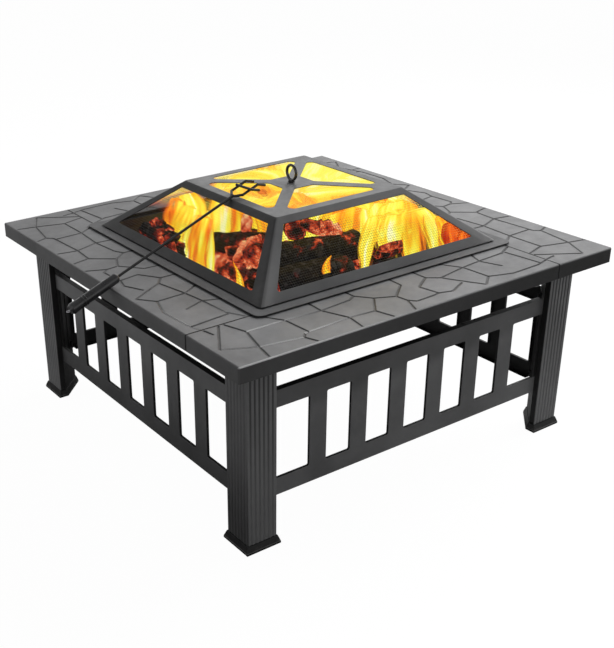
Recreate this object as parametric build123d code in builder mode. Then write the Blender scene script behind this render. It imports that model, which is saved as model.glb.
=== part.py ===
"""Square fire pit table with a lift-out bowl, a log grate, a spark-screen lid and a poker.

Millimetres. The table stands on z = 0 and is modelled about its own centre.
Side a faces -Y, side b +X, side c +Y and side d -X. Every piece is moved by
one shift at the end, so that the row origin is under the middle of the
bounding box, which the poker's overhanging grip makes longer towards -X.
"""

import math
import os

from build123d import *

# Table top
TABLE_SIDE = 810.0
TABLE_HEIGHT = 361.0
TOP_SHEET = 2.0
TOP_EDGE_RADIUS = 2.5
APRON_HEIGHT = 27.2
SEAM_GAP = 1.2
LIP_HEIGHT = 10.0
GROOVE_WIDTH = 4.6
GROOVE_DEPTH = 1.15

# Legs and their foot shoes
LEG_INSET = 43.0
LEG_WIDTH = 56.0
LEG_RETURN = 12.0
LEG_WALL = 2.0
FLUTE_COUNT = 6
FLUTE_PITCH = 8.4
FLUTE_RADIUS = 3.0
FLUTE_DEPTH = 1.1
FOOT_HEIGHT = 14.0
FOOT_BAND = 3.5
FOOT_FLOOR = 3.0
FOOT_FLARE = 5.5
FOOT_LIP = 1.6
FOOT_FIT = 0.2
GUSSET_SHEET = 3.0
GUSSET_WIDTH = 78.0
GUSSET_ARM = 36.0
STUD_EDGE = 13.0
STUD_PAST_SEAM = 18.0

# Side panels
SIDE_SHEET = 1.2
SIDE_TOP = 269.0
TOP_RAIL = 30.0
WINDOW_HEIGHT = 127.0
BOTTOM_RAIL = 31.5
WINDOW_COUNT = 7
SLAT_PITCH = 85.4
SLAT_WIDTH = 34.4
END_STILE = 6.0
WINDOW_RADIUS = 3.0
WINDOW_FLANGE = 5.0
RAIL_FLANGE = 12.0
TAB_LENGTH = 24.0
TAB_BOLT = 13.0

# Fasteners
BOLT_RADIUS = 3.0
HOLE_RADIUS = 3.3
THREAD_GAP = 0.05
HEAD_RADIUS = 5.5
HEAD_HEIGHT = 4.0
NUT_RADIUS = 5.77
NUT_HEIGHT = 5.0
THREAD_END = 2.0

# Fire bowl
RIM_BAND = 34.0
RIM_RADIUS = 14.0
RIM_SHEET = 1.5
RIM_STANDOFF = 1.8
RIM_FOOT_RADIUS = 5.0
MOUTH_SIDE = 500.0
MOUTH_RADIUS = 24.0
DROP_GAP = 15.4
BOWL_TAPER = 38.0
FLOOR_RADIUS = 40.0
BOWL_DEPTH = 128.0
BOWL_SHEET = 1.2

# Log grate
GRATE_LENGTH = 300.0
GRATE_RAIL_GAP = 230.0
GRATE_BAR_LENGTH = 290.0
GRATE_HEIGHT = 40.0
RAIL_SECTION = 8.0
GRATE_BAR_COUNT = 9
GRATE_BAR_RADIUS = 4.0

# Spark-screen lid
LID_SHEET = 1.2
LID_LAP = 13.0
LID_BASE_RADIUS = 8.0
LID_TOP_SIDE = 284.0
LID_TOP_RADIUS = 4.0
LID_RISE = 93.0
LID_CROWN = 3.0
LID_HUB_SIDE = 72.0
LID_HUB_RADIUS = 6.0
LID_SHADOW_GAP = 2.0
SEAT_LAP = 3.0
COLLAR_CLEARANCE = 1.5
COLLAR_DEPTH = 9.0
COLLAR_SHEET = 1.2
SIDE_BORDER_LOW = 19.5
SIDE_BORDER_HIGH = 15.0
HIP_BORDER_LOW = 28.0
HIP_BORDER_HIGH = 18.6
SIDE_WINDOW_RADIUS = 3.0
TOP_BORDER = 18.0
TOP_BAR = 22.0
TOP_WINDOW_RADIUS = 10.0
MESH_SHEET = 0.8
MESH_OVERLAP = 4.0
MESH_STRAND = 3.0
MESH_CELLS = 12
MESH_ROWS = 4

# Lifting eye
EYE_RADIUS = 13.5
EYE_WIRE_RADIUS = 2.75
EYE_COLLAR_RADIUS = 6.0
EYE_COLLAR_HEIGHT = 4.5
EYE_SHANK_RADIUS = 4.0
EYE_SHANK_LENGTH = 13.0
EYE_HOLE_RADIUS = 4.2
WASHER_RADIUS = 10.0
WASHER_HEIGHT = 1.6
EYE_NUT_RADIUS = 7.5
EYE_NUT_HEIGHT = 6.5

# Poker
ROD_RADIUS = 2.4
GRIP_RADIUS = 9.0
GRIP_TAIL_RADIUS = 9.8
GRIP_FRONT = 22.0
GRIP_REAR = 80.0
GRIP_TAIL = 27.0
GRIP_BEAD = 0.9
GRIP_BEAD_PITCH = 5.0
GRIP_BORE_GAP = 0.05
ROD_SOCKET = 60.0
REST_GAP = 0.3
POKER_Y = -30.9
POKER_YAW = 4.8
ROD_PAST_LID = 4.5
FORK_HALF = 16.0
FORK_LENGTH = 46.0
FORK_SHOULDER = 10.0
FORK_TIP = 18.0
FORK_BEND = 34.0
HOOK_AT = 24.0
HOOK_REACH = 26.0
EYELET_RADIUS = 2.6
EYELET_WIRE = 1.0
EYELET_SHANK = 9.0

# Derived sizes
HALF = TABLE_SIDE / 2
OPENING = MOUTH_SIDE / 2 + BOWL_SHEET + DROP_GAP
SEAM = OPENING - SEAM_GAP / 2
PLATE_WIDTH = HALF - SEAM
RIM_SIDE = MOUTH_SIDE + 2 * RIM_BAND
FLOOR_SIDE = MOUTH_SIDE - 2 * BOWL_TAPER
LID_BASE_SIDE = MOUTH_SIDE + 2 * LID_LAP
UNDERSIDE = TABLE_HEIGHT - TOP_SHEET
LEG_OUT = HALF - LEG_INSET
PANEL_Y = LEG_OUT - LEG_RETURN
PANEL_END = LEG_OUT - LEG_WIDTH
SIDE_HEIGHT = TOP_RAIL + WINDOW_HEIGHT + BOTTOM_RAIL
SIDE_BOTTOM = SIDE_TOP - SIDE_HEIGHT
WINDOW_Z = SIDE_TOP - TOP_RAIL - WINDOW_HEIGHT / 2
BOLT_HEIGHTS = (SIDE_BOTTOM + BOTTOM_RAIL / 2, SIDE_TOP - TOP_RAIL / 2)
RIM_TOP = TABLE_HEIGHT + RIM_STANDOFF + RIM_SHEET
BOWL_BOTTOM = RIM_TOP - BOWL_DEPTH
LID_BASE_Z = RIM_TOP + LID_SHADOW_GAP
LID_TOP_Z = LID_BASE_Z + LID_RISE
LID_RUN = (LID_BASE_SIDE - LID_TOP_SIDE) / 2
LID_SLANT = math.hypot(LID_RUN, LID_RISE)
HUB_Z = LID_TOP_Z + LID_CROWN
QUARTER_NAMES = "abcd"
LEG_NAMES = ("front", "right", "back", "left")

# Paving grooves of one plate: runs of points, distance along the plate from its
# corner end and distance in from its outer edge, drawn on a plate of this size
PAVING_SIZE = (671.0, 139.0)
PAVING_RUNS = (
    ((30, 137), (34, 114)),
    ((58, 137), (12, 65), (64, 39), (56, 3)),
    ((67, 137), (80, 94), (64, 39), (137, 26), (146, 3)),
    ((80, 94), (152, 94), (220, 89), (282, 95), (299, 104), (299, 137)),
    ((125, 137), (152, 94), (155, 38)),
    ((223, 137), (220, 89), (238, 42), (231, 3)),
    ((137, 26), (147, 37), (238, 42), (287, 38), (319, 78), (353, 62)),
    ((299, 104), (319, 78)),
    ((287, 38), (296, 3)),
    ((394, 137), (392, 94), (353, 62), (356, 39), (340, 3)),
    ((356, 39), (366, 27), (404, 29), (417, 31)),
    ((447, 137), (447, 93), (410, 69), (417, 31), (442, 24), (479, 41)),
    ((447, 93), (467, 77), (531, 89), (575, 94), (637, 98), (668, 114)),
    ((467, 77), (481, 52), (505, 11), (534, 34)),
    ((503, 137), (531, 89), (534, 34), (579, 19), (642, 21), (668, 28)),
    ((592, 137), (575, 94), (590, 54)),
    ((644, 98), (652, 22)),
)


def leg_section():
    """Corner points of the front leg's five-sided section."""
    low = -LEG_OUT
    high = low + LEG_WIDTH
    step = low + LEG_RETURN
    return [(low, low), (high, low), (high, step), (step, high), (low, high)]


def tab_point(side):
    """Middle of a tab's bolt on the front leg's diagonal face, for its a or d panel."""
    run = TAB_BOLT / math.sqrt(2)
    x, y = -PANEL_END - run, -PANEL_Y + run
    return (x, y) if side == "a" else (y, x)


def turned(x, y, quarter):
    """A point turned about the table's centre by a number of quarter turns."""
    angle = math.radians(90 * quarter)
    return (x * math.cos(angle) - y * math.sin(angle), x * math.sin(angle) + y * math.cos(angle))


def tab_plane(side, quarter, height, out):
    """Plane on a tab bolt's axis, facing the table's inside, out from the leg's face."""
    x, y = turned(*tab_point(side), quarter)
    nx, ny = turned(1 / math.sqrt(2), 1 / math.sqrt(2), quarter)
    return Plane(origin=(x + nx * out, y + ny * out, height), z_dir=(nx, ny, 0))


def tab_bolts():
    """Side, quarter turn and height of every bolt between side panels and legs."""
    return [(side, q, z) for q in range(4) for side in "ad" for z in BOLT_HEIGHTS]


def stud_points():
    """Weld studs of the front corner: two under its own plate, one under the next."""
    low = -LEG_OUT + LEG_WALL
    middle, end = low + GUSSET_ARM / 2, low + GUSSET_WIDTH - STUD_EDGE
    return [(end, middle), (middle, end), (middle, -SEAM + STUD_PAST_SEAM)]


def lid_plane(inward):
    """Plane of the lid's side a, moved in from the outer skin; local y runs up the slope."""
    up = (0, LID_RUN / LID_SLANT, LID_RISE / LID_SLANT)
    out = Vector(0, -up[2], up[1])
    origin = Vector(0, -LID_BASE_SIDE / 2, LID_BASE_Z) - out * inward
    return Plane(origin=origin, x_dir=(1, 0, 0), z_dir=out)


def side_window(grow):
    """Corner points of a lid side window on its plane, grown by an overlap."""
    low, high = SIDE_BORDER_LOW - grow, LID_SLANT - SIDE_BORDER_HIGH + grow
    wide = LID_BASE_SIDE / 2 - SIDE_BORDER_LOW * LID_RUN / LID_SLANT - HIP_BORDER_LOW + grow
    slim = LID_TOP_SIDE / 2 + SIDE_BORDER_HIGH * LID_RUN / LID_SLANT - HIP_BORDER_HIGH + grow
    return [(-wide, low), (wide, low), (slim, high), (-slim, high)]


# Table-top plate, side a: sheet, two aprons, lip at the bowl's opening, paving grooves
plate_length = HALF + SEAM - SEAM_GAP / 2
plate_depth = PLATE_WIDTH - SEAM_GAP / 2
plate_x = -HALF + plate_length / 2
plate_y = -HALF + plate_depth / 2
with BuildPart() as top_plate:
    with Locations((plate_x, plate_y, TABLE_HEIGHT - TOP_SHEET / 2)):
        Box(plate_length, plate_depth, TOP_SHEET)
    with Locations((plate_x, -HALF + TOP_SHEET / 2, TABLE_HEIGHT - APRON_HEIGHT / 2)):
        Box(plate_length, TOP_SHEET, APRON_HEIGHT)
    with Locations((-HALF + TOP_SHEET / 2, plate_y, TABLE_HEIGHT - APRON_HEIGHT / 2)):
        Box(TOP_SHEET, plate_depth, APRON_HEIGHT)
    with Locations((0, -OPENING - TOP_SHEET / 2, TABLE_HEIGHT - LIP_HEIGHT / 2)):
        Box(2 * SEAM - 2 * LEG_RETURN, TOP_SHEET, LIP_HEIGHT)
    long_edge = top_plate.edges().filter_by(Axis.X).group_by(Axis.Y)[0].sort_by(Axis.Z)[-1]
    end_edge = top_plate.edges().filter_by(Axis.Y).group_by(Axis.X)[0].sort_by(Axis.Z)[-1]
    corner_edge = top_plate.edges().filter_by(Axis.Z).sort_by(lambda e: e.center().X + e.center().Y)[0]
    fillet([long_edge, end_edge, corner_edge], TOP_EDGE_RADIUS)
    for run in PAVING_RUNS:
        points = [
            Vector(
                -HALF + along * plate_length / PAVING_SIZE[0],
                -HALF + across * plate_depth / PAVING_SIZE[1],
                TABLE_HEIGHT,
            )
            for along, across in run
        ]
        for start, end in zip(points, points[1:]):
            way = (end - start).normalized()
            with BuildSketch(Plane(origin=start, x_dir=(-way.Y, way.X, 0), z_dir=way)):
                Polygon(
                    (-GROOVE_WIDTH * 0.75, GROOVE_DEPTH * 0.5),
                    (0, -GROOVE_DEPTH),
                    (GROOVE_WIDTH * 0.75, GROOVE_DEPTH * 0.5),
                    align=None,
                )
            extrude(amount=(end - start).length, mode=Mode.SUBTRACT)

# Leg at the front corner: five-sided tube, flutes, gusset under the top
with BuildPart() as leg:
    with BuildSketch(Plane.XY.offset(FOOT_FLOOR)):
        Polygon(*leg_section(), align=None)
        offset(amount=-LEG_WALL, kind=Kind.INTERSECTION, mode=Mode.SUBTRACT)
        middle = -LEG_OUT + LEG_WIDTH / 2
        out = -LEG_OUT - FLUTE_RADIUS + FLUTE_DEPTH
        first = middle - FLUTE_PITCH * (FLUTE_COUNT - 1) / 2
        flutes = [first + FLUTE_PITCH * i for i in range(FLUTE_COUNT)]
        with Locations(*[(at, out) for at in flutes], *[(out, at) for at in flutes]):
            Circle(FLUTE_RADIUS, mode=Mode.SUBTRACT)
    extrude(amount=UNDERSIDE - FOOT_FLOOR)
    with BuildSketch(Plane.XY.offset(UNDERSIDE - GUSSET_SHEET)):
        low = -LEG_OUT + LEG_WALL
        past_seam = -SEAM + STUD_PAST_SEAM + STUD_EDGE
        Polygon(
            (low, low),
            (low + GUSSET_WIDTH, low),
            (low + GUSSET_WIDTH, low + GUSSET_ARM),
            (low + GUSSET_ARM, low + GUSSET_WIDTH),
            (low + GUSSET_ARM, past_seam),
            (low, past_seam),
            align=None,
        )
    extrude(amount=GUSSET_SHEET)
    with Locations(*[(x, y, UNDERSIDE - GUSSET_SHEET / 2) for x, y in stud_points()]):
        Cylinder(HOLE_RADIUS, 2 * GUSSET_SHEET, mode=Mode.SUBTRACT)
    for side in "ad":
        for height in BOLT_HEIGHTS:
            with BuildSketch(tab_plane(side, 0, height, -2 * LEG_WALL)):
                Circle(HOLE_RADIUS)
            extrude(amount=3 * LEG_WALL, mode=Mode.SUBTRACT)

# Flared foot shoe at the front corner, with a socket for the leg's end
with BuildPart() as foot:
    with BuildSketch():
        Polygon(*leg_section(), align=None)
        offset(amount=FOOT_FLARE, kind=Kind.INTERSECTION)
    extrude(amount=FOOT_BAND)
    with BuildSketch(Plane.XY.offset(FOOT_BAND)):
        Polygon(*leg_section(), align=None)
        offset(amount=FOOT_FLARE, kind=Kind.INTERSECTION)
    with BuildSketch(Plane.XY.offset(FOOT_HEIGHT)):
        Polygon(*leg_section(), align=None)
        offset(amount=FOOT_LIP, kind=Kind.INTERSECTION)
    loft()
    with BuildSketch(Plane.XY.offset(FOOT_FLOOR)):
        Polygon(*leg_section(), align=None)
        offset(amount=FOOT_FIT, kind=Kind.INTERSECTION)
    extrude(amount=FOOT_HEIGHT, mode=Mode.SUBTRACT)

# Side panel a: stamped sheet with flanged windows, rail flanges and a bolt tab at each end
with BuildPart() as side_panel:
    tab = Vector(-1, 1, 0).normalized()
    back = Vector(1, 1, 0).normalized()
    bend = Vector(-PANEL_END, -PANEL_Y, 0)
    tip = bend + tab * TAB_LENGTH
    with BuildSketch(Plane.XY.offset(SIDE_BOTTOM)):
        with Locations((0, -PANEL_Y + SIDE_SHEET / 2)):
            Rectangle(2 * PANEL_END, SIDE_SHEET)
        corners = [bend, bend + back * SIDE_SHEET, tip + back * SIDE_SHEET, tip]
        Polygon(*[(p.X, p.Y) for p in corners], align=None)
        Polygon(*[(-p.X, p.Y) for p in corners], align=None)
    extrude(amount=SIDE_HEIGHT)
    rail_length = 2 * (PANEL_END - 2 * SIDE_SHEET)
    for height in (SIDE_TOP - SIDE_SHEET / 2, SIDE_BOTTOM + SIDE_SHEET / 2):
        with Locations((0, -PANEL_Y + RAIL_FLANGE / 2, height)):
            Box(rail_length, RAIL_FLANGE, SIDE_SHEET)
    inner = SLAT_PITCH - SLAT_WIDTH
    middles = [SLAT_PITCH * (i - (WINDOW_COUNT - 1) / 2) for i in range(1, WINDOW_COUNT - 1)]
    windows = [(x, inner) for x in middles]
    outer_left = middles[-1] + SLAT_PITCH - inner / 2
    outer_width = PANEL_END - END_STILE - outer_left
    windows += [(s * (outer_left + outer_width / 2), outer_width) for s in (-1, 1)]
    for x, width in windows:
        with BuildSketch(Plane.XZ.offset(PANEL_Y)):
            with Locations((x, WINDOW_Z)):
                grown = WINDOW_RADIUS + SIDE_SHEET
                RectangleRounded(width + 2 * SIDE_SHEET, WINDOW_HEIGHT + 2 * SIDE_SHEET, grown)
        extrude(amount=-WINDOW_FLANGE)
        with BuildSketch(Plane.XZ.offset(PANEL_Y)):
            with Locations((x, WINDOW_Z)):
                RectangleRounded(width, WINDOW_HEIGHT, WINDOW_RADIUS)
        extrude(amount=-WINDOW_FLANGE, mode=Mode.SUBTRACT)
    for side, quarter in (("a", 0), ("d", 1)):
        for height in BOLT_HEIGHTS:
            with BuildSketch(tab_plane(side, quarter, height, -SIDE_SHEET)):
                Circle(HOLE_RADIUS)
            extrude(amount=3 * SIDE_SHEET, mode=Mode.SUBTRACT)

# Bolts and nuts between side panels and legs, all in one group each
shank = SIDE_SHEET + LEG_WALL + NUT_HEIGHT + THREAD_END
with BuildPart() as panel_bolts:
    for side, quarter, height in tab_bolts():
        with BuildSketch(tab_plane(side, quarter, height, SIDE_SHEET)):
            Circle(HEAD_RADIUS)
        extrude(amount=HEAD_HEIGHT)
        with BuildSketch(tab_plane(side, quarter, height, SIDE_SHEET)):
            Circle(BOLT_RADIUS)
        extrude(amount=-shank)

with BuildPart() as panel_nuts:
    for side, quarter, height in tab_bolts():
        with BuildSketch(tab_plane(side, quarter, height, -LEG_WALL)):
            RegularPolygon(NUT_RADIUS, 6)
            Circle(BOLT_RADIUS + THREAD_GAP, mode=Mode.SUBTRACT)
        extrude(amount=-NUT_HEIGHT)

# Weld studs under the top plates and the nuts on them
stud_places = [turned(x, y, q) for q in range(4) for x, y in stud_points()]
stud_length = GUSSET_SHEET + NUT_HEIGHT + THREAD_END
with BuildPart() as top_studs:
    with Locations(*[(x, y, UNDERSIDE - stud_length / 2) for x, y in stud_places]):
        Cylinder(BOLT_RADIUS, stud_length)

with BuildPart() as top_nuts:
    with BuildSketch(Plane.XY.offset(UNDERSIDE - GUSSET_SHEET - NUT_HEIGHT)):
        with Locations(*stud_places):
            RegularPolygon(NUT_RADIUS, 6)
            Circle(BOLT_RADIUS + THREAD_GAP, mode=Mode.SUBTRACT)
    extrude(amount=NUT_HEIGHT)

# Fire bowl: tapered walls, flat rim band on low pressed feet
with BuildPart() as fire_bowl:
    with BuildSketch(Plane.XY.offset(BOWL_BOTTOM)):
        RectangleRounded(FLOOR_SIDE, FLOOR_SIDE, FLOOR_RADIUS)
    with BuildSketch(Plane.XY.offset(RIM_TOP)):
        RectangleRounded(MOUTH_SIDE + 2 * BOWL_SHEET, MOUTH_SIDE + 2 * BOWL_SHEET, MOUTH_RADIUS + BOWL_SHEET)
    loft()
    with BuildSketch(Plane.XY.offset(RIM_TOP - RIM_SHEET)):
        RectangleRounded(RIM_SIDE, RIM_SIDE, RIM_RADIUS)
    extrude(amount=RIM_SHEET)
    rim_line = (OPENING + RIM_SIDE / 2) / 2
    spread = SEAM / 2
    feet = [turned(s * spread, -rim_line, q) for q in range(4) for s in (-1, 1)]
    with Locations(*[(x, y, TABLE_HEIGHT + RIM_STANDOFF / 2) for x, y in feet]):
        Cylinder(RIM_FOOT_RADIUS, RIM_STANDOFF)
    with BuildSketch(Plane.XY.offset(BOWL_BOTTOM + BOWL_SHEET)):
        RectangleRounded(FLOOR_SIDE - 2 * BOWL_SHEET, FLOOR_SIDE - 2 * BOWL_SHEET, FLOOR_RADIUS - BOWL_SHEET)
    with BuildSketch(Plane.XY.offset(RIM_TOP)):
        RectangleRounded(MOUTH_SIDE, MOUTH_SIDE, MOUTH_RADIUS)
    loft(mode=Mode.SUBTRACT)

# Log grate: two rails with a foot at each end, round bars welded across them
grate_floor = BOWL_BOTTOM + BOWL_SHEET
rail_top = grate_floor + GRATE_HEIGHT
with BuildPart() as grate_rails:
    for y in (-GRATE_RAIL_GAP / 2, GRATE_RAIL_GAP / 2):
        with Locations((0, y, rail_top - RAIL_SECTION / 2)):
            Box(GRATE_LENGTH, RAIL_SECTION, RAIL_SECTION)
        ends = GRATE_LENGTH / 2 - RAIL_SECTION / 2
        with Locations((-ends, y, grate_floor + GRATE_HEIGHT / 2), (ends, y, grate_floor + GRATE_HEIGHT / 2)):
            Box(RAIL_SECTION, RAIL_SECTION, GRATE_HEIGHT)

bar_pitch = (GRATE_LENGTH - 2 * RAIL_SECTION) / (GRATE_BAR_COUNT - 1)
with BuildPart() as grate_bars:
    with BuildSketch(Plane.XZ.offset(-GRATE_BAR_LENGTH / 2)):
        with Locations((0, rail_top + GRATE_BAR_RADIUS)):
            with GridLocations(bar_pitch, 0, GRATE_BAR_COUNT, 1):
                Circle(GRATE_BAR_RADIUS)
    extrude(amount=GRATE_BAR_LENGTH)

# Cutters for one side window and one top window of the lid, side a
with BuildPart() as side_cutter:
    with BuildSketch(lid_plane(0)) as side_opening:
        Polygon(*side_window(0), align=None)
        fillet(side_opening.vertices(), SIDE_WINDOW_RADIUS)
    extrude(amount=4 * LID_SHEET, both=True)

bar_offset = TOP_BAR / math.sqrt(2)
far = LID_TOP_SIDE / 2 - TOP_BORDER
near = LID_HUB_SIDE / 2
with BuildPart() as top_cutter:
    with BuildSketch(Plane.XY.offset(LID_TOP_Z - 4 * LID_SHEET)) as top_opening:
        Polygon(
            (bar_offset - far, -far),
            (far - bar_offset, -far),
            (near - bar_offset, -near),
            (bar_offset - near, -near),
            align=None,
        )
        fillet(top_opening.vertices(), TOP_WINDOW_RADIUS)
    extrude(amount=8 * LID_SHEET)

# Lid frame: pressed skin with a crowned top, seat and locating collar, windows
skin_in = LID_SHEET * LID_SLANT / LID_RISE
skin_low = LID_BASE_SIDE - 2 * skin_in
skin_high = LID_TOP_SIDE - 2 * skin_in + 2 * LID_SHEET * LID_RUN / LID_RISE
seat_out = LID_BASE_SIDE - 2 * SEAT_LAP * LID_RUN / LID_RISE - skin_in
seat_height = LID_SHADOW_GAP + SEAT_LAP
collar_share = COLLAR_DEPTH / (BOWL_DEPTH - BOWL_SHEET)
mouth_taper = (MOUTH_SIDE - FLOOR_SIDE) / 2 + BOWL_SHEET
collar_out = MOUTH_SIDE - 2 * (mouth_taper * collar_share + COLLAR_CLEARANCE)
collar_in = collar_out - 2 * COLLAR_SHEET
collar_radius = MOUTH_RADIUS - COLLAR_CLEARANCE
with BuildPart() as lid_frame:
    with BuildSketch(Plane.XY.offset(LID_BASE_Z)):
        RectangleRounded(LID_BASE_SIDE, LID_BASE_SIDE, LID_BASE_RADIUS)
    with BuildSketch(Plane.XY.offset(LID_TOP_Z)):
        RectangleRounded(LID_TOP_SIDE, LID_TOP_SIDE, LID_TOP_RADIUS)
    loft()
    with BuildSketch(Plane.XY.offset(LID_TOP_Z)):
        RectangleRounded(LID_TOP_SIDE, LID_TOP_SIDE, LID_TOP_RADIUS)
    with BuildSketch(Plane.XY.offset(HUB_Z)):
        RectangleRounded(LID_HUB_SIDE, LID_HUB_SIDE, LID_HUB_RADIUS)
    loft()
    with BuildSketch(Plane.XY.offset(LID_BASE_Z)):
        RectangleRounded(skin_low, skin_low, LID_BASE_RADIUS - LID_SHEET)
    with BuildSketch(Plane.XY.offset(LID_TOP_Z - LID_SHEET)):
        RectangleRounded(skin_high, skin_high, LID_TOP_RADIUS - LID_SHEET)
    loft(mode=Mode.SUBTRACT)
    with BuildSketch(Plane.XY.offset(LID_TOP_Z - LID_SHEET)):
        RectangleRounded(skin_high, skin_high, LID_TOP_RADIUS - LID_SHEET)
    with BuildSketch(Plane.XY.offset(HUB_Z - LID_SHEET)):
        RectangleRounded(LID_HUB_SIDE, LID_HUB_SIDE, LID_HUB_RADIUS)
    loft(mode=Mode.SUBTRACT)
    with BuildSketch(Plane.XY.offset(RIM_TOP)):
        RectangleRounded(seat_out, seat_out, LID_BASE_RADIUS - LID_SHEET)
        RectangleRounded(collar_in, collar_in, collar_radius - COLLAR_SHEET, mode=Mode.SUBTRACT)
    extrude(amount=seat_height)
    with BuildSketch(Plane.XY.offset(RIM_TOP - COLLAR_DEPTH)):
        RectangleRounded(collar_out, collar_out, collar_radius)
        RectangleRounded(collar_in, collar_in, collar_radius - COLLAR_SHEET, mode=Mode.SUBTRACT)
    extrude(amount=COLLAR_DEPTH + seat_height)
    for quarter in range(4):
        add(side_cutter.part.rotate(Axis.Z, 90 * quarter), mode=Mode.SUBTRACT)
        add(top_cutter.part.rotate(Axis.Z, 90 * quarter), mode=Mode.SUBTRACT)
    with Locations((0, 0, HUB_Z)):
        Cylinder(EYE_HOLE_RADIUS, 4 * LID_SHEET, mode=Mode.SUBTRACT)

# Wire mesh as thin sheets with a coarse grid of openings: one behind each side window, one under the top
mesh_corners = side_window(0)
mesh_wide, mesh_low = mesh_corners[1]
mesh_high = mesh_corners[2][1]
cell_width = 2 * mesh_wide / MESH_CELLS
cell_height = (mesh_high - mesh_low) / MESH_ROWS
with BuildSketch() as mesh_openings:
    with Locations((0, (mesh_low + mesh_high) / 2)):
        with GridLocations(cell_width, cell_height, MESH_CELLS, MESH_ROWS):
            Rectangle(cell_width - MESH_STRAND, cell_height - MESH_STRAND)
    Polygon(*side_window(-MESH_STRAND / 2), align=None, mode=Mode.INTERSECT)

with BuildPart() as lid_mesh:
    with BuildSketch(lid_plane(LID_SHEET)):
        Polygon(*side_window(MESH_OVERLAP), align=None)
        for opening in mesh_openings.faces():
            if opening.area > MESH_STRAND ** 2:
                add(opening, mode=Mode.SUBTRACT)
    extrude(amount=-MESH_SHEET)

mesh_top_side = 2 * (far + MESH_OVERLAP)
mesh_hole = WASHER_RADIUS + 2 * MESH_OVERLAP
top_cell = 2 * far / MESH_CELLS
cell_centres = [top_cell * (number - (MESH_CELLS - 1) / 2) for number in range(MESH_CELLS)]
top_cells = [
    (x, y)
    for x in cell_centres
    for y in cell_centres
    if math.hypot(abs(x) - top_cell / 2, abs(y) - top_cell / 2) > mesh_hole
]
with BuildPart() as lid_mesh_top:
    with BuildSketch(Plane.XY.offset(LID_TOP_Z - LID_SHEET - MESH_SHEET)):
        Rectangle(mesh_top_side, mesh_top_side)
        Circle(mesh_hole, mode=Mode.SUBTRACT)
        with Locations(*top_cells):
            Rectangle(top_cell - MESH_STRAND, top_cell - MESH_STRAND, mode=Mode.SUBTRACT)
    extrude(amount=MESH_SHEET)

# Lifting eye: upright ring in the YZ plane, collar and shank; washer and nut below the hub
eye_z = HUB_Z + EYE_COLLAR_HEIGHT + EYE_RADIUS
hub_under = HUB_Z - LID_SHEET
with BuildPart() as lid_eye:
    with Locations((0, 0, HUB_Z + EYE_COLLAR_HEIGHT / 2)):
        Cylinder(EYE_COLLAR_RADIUS, EYE_COLLAR_HEIGHT)
    with Locations((0, 0, HUB_Z - EYE_SHANK_LENGTH / 2)):
        Cylinder(EYE_SHANK_RADIUS, EYE_SHANK_LENGTH)
    with Locations(Location((0, 0, eye_z), (0, 90, 0))):
        Torus(EYE_RADIUS, EYE_WIRE_RADIUS)

with BuildPart() as lid_washer:
    with BuildSketch(Plane.XY.offset(hub_under - WASHER_HEIGHT)):
        Circle(WASHER_RADIUS)
        Circle(EYE_HOLE_RADIUS, mode=Mode.SUBTRACT)
    extrude(amount=WASHER_HEIGHT)

with BuildPart() as lid_nut:
    with BuildSketch(Plane.XY.offset(hub_under - WASHER_HEIGHT - EYE_NUT_HEIGHT)):
        RegularPolygon(EYE_NUT_RADIUS, 6)
        Circle(EYE_SHANK_RADIUS + THREAD_GAP, mode=Mode.SUBTRACT)
    extrude(amount=EYE_NUT_HEIGHT)

# Poker axis: the grip lies on the table's edge and the rod on the lid's top edge
yaw = math.radians(POKER_YAW)
level_run = (HALF - LID_TOP_SIDE / 2) / math.cos(yaw)
rise = LID_TOP_Z - TABLE_HEIGHT
span = math.hypot(level_run, rise)
pitch = math.atan2(rise, level_run) + math.asin((ROD_RADIUS - GRIP_RADIUS) / span)
ahead = Vector(math.cos(pitch) * math.cos(yaw), math.cos(pitch) * math.sin(yaw), math.sin(pitch))
above = Vector(-math.sin(pitch) * math.cos(yaw), -math.sin(pitch) * math.sin(yaw), math.cos(pitch))
across = above.cross(ahead)
poker_rest = Vector(-HALF, POKER_Y, TABLE_HEIGHT) + above * (GRIP_RADIUS + REST_GAP)
rod_end = span * math.cos(pitch - math.atan2(rise, level_run)) + ROD_PAST_LID


def on_poker(along, side=0.0, up=0.0):
    """A point given along the poker's axis, to its left and above it."""
    return poker_rest + ahead * along + across * side + above * up


def poker_plane(along):
    """Plane across the poker's axis, facing its fork."""
    return Plane(origin=on_poker(along), x_dir=across, z_dir=ahead)


with BuildPart() as poker_rod:
    with BuildSketch(poker_plane(GRIP_FRONT - ROD_SOCKET)):
        Circle(ROD_RADIUS)
    extrude(amount=rod_end - GRIP_FRONT + ROD_SOCKET)

# Two-pronged fork, bent from one wire and welded to the rod's end
drop = FORK_TIP * math.sin(math.radians(FORK_BEND))
reach = FORK_LENGTH + FORK_TIP * math.cos(math.radians(FORK_BEND))
fork_root = rod_end + ROD_RADIUS
prong = ((reach, 1, -drop), (FORK_LENGTH, 1, 0), (FORK_SHOULDER, 1, 0), (0, 0.25, 0))
half_path = [(fork_root + along, FORK_HALF * side, up) for along, side, up in prong]
fork_path = half_path + [(along, -side, up) for along, side, up in reversed(half_path)]
with BuildPart() as poker_fork:
    with BuildLine() as fork_line:
        Polyline(*[on_poker(*point) for point in fork_path])
    with BuildSketch(Plane(origin=fork_line.line @ 0, z_dir=fork_line.line % 0)):
        Circle(ROD_RADIUS)
    sweep(path=fork_line.line, transition=Transition.ROUND)

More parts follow.
